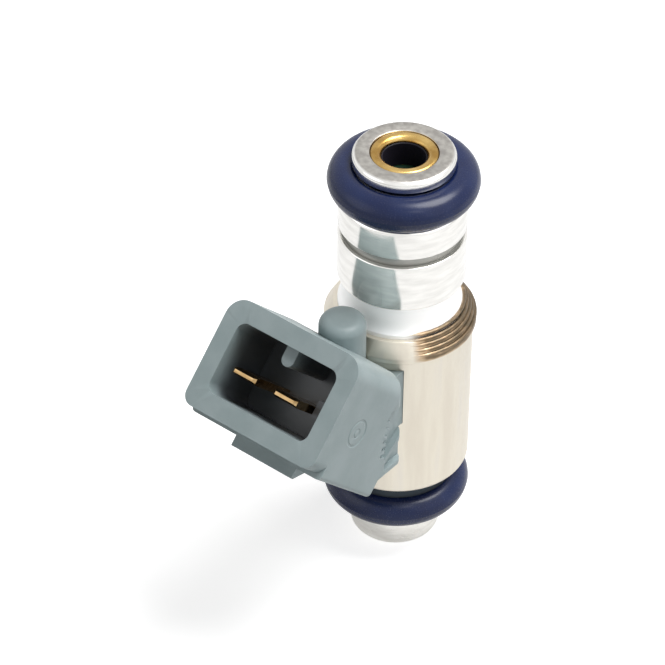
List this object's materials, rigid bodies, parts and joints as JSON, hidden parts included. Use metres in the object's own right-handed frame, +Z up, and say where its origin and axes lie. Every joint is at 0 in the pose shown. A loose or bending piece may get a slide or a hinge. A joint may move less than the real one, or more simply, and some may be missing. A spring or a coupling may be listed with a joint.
{
  "type": "fuel injector",
  "caption": "Top-feed electromagnetic petrol injector: steel body with brass inlet filter, two blue O-rings, grey angled two-blade electrical socket and a sprung ball valve.",
  "frame": {"origin": "centre of the spray tip's flat bottom face", "axes": "+Z up the injector axis towards the fuel inlet, the electrical socket points towards -Y, the mid-plane is X = 0"},
  "size_m": [0.0158, 0.031, 0.0468],
  "materials": {
    "turned_steel": "bright turned stainless steel, fine circular marks",
    "plated_can": "satin warm-white plated steel with a brown heat-tinted weld shoulder",
    "brass_collar": "turned brass",
    "filter_plastic": "dark green moulded plastic and woven mesh",
    "inner_steel": "machined steel",
    "spring_steel": "drawn spring wire",
    "grey_plastic": "glass-filled moulded plastic, satin",
    "bronze_blade": "stamped bronze blade",
    "bobbin_plastic": "black moulded plastic",
    "copper_wire": "enamelled copper wire",
    "hard_steel": "hardened and lapped steel",
    "blue_rubber": "navy blue moulded fuel-resistant rubber"
  },
  "bodies": {
    "body": {"inlet_tube": "turned_steel", "filter_collar": "brass_collar", "filter_frame": "filter_plastic", "filter_mesh": "filter_plastic", "adjusting_tube": "inner_steel", "return_spring": "spring_steel", "neck_sleeve": "turned_steel", "outer_can": "plated_can", "connector_body": "grey_plastic", "terminal_left": "bronze_blade", "terminal_right": "bronze_blade", "coil_bobbin": "bobbin_plastic", "coil_winding": "copper_wire", "upper_flux_washer": "inner_steel", "lower_flux_washer": "inner_steel", "armature_sleeve": "inner_steel", "valve_body": "turned_steel", "ball_guide": "inner_steel", "valve_seat": "hard_steel", "spray_plate": "inner_steel", "tip_ring": "plated_can", "top_oring": "blue_rubber", "lower_oring": "blue_rubber"},
    "valve": {"armature": "inner_steel", "needle_tube": "inner_steel", "valve_ball": "hard_steel"}
  },
  "joints": [
    {"name": "valve_lift", "type": "slide", "parent": "body", "child": "valve", "axis": [0, 0, 1], "range_m": [0, 0.0001], "stiffness_N_per_m": 3000, "springref_m": -0.0008, "deforming": ["return_spring"]}
  ]
}
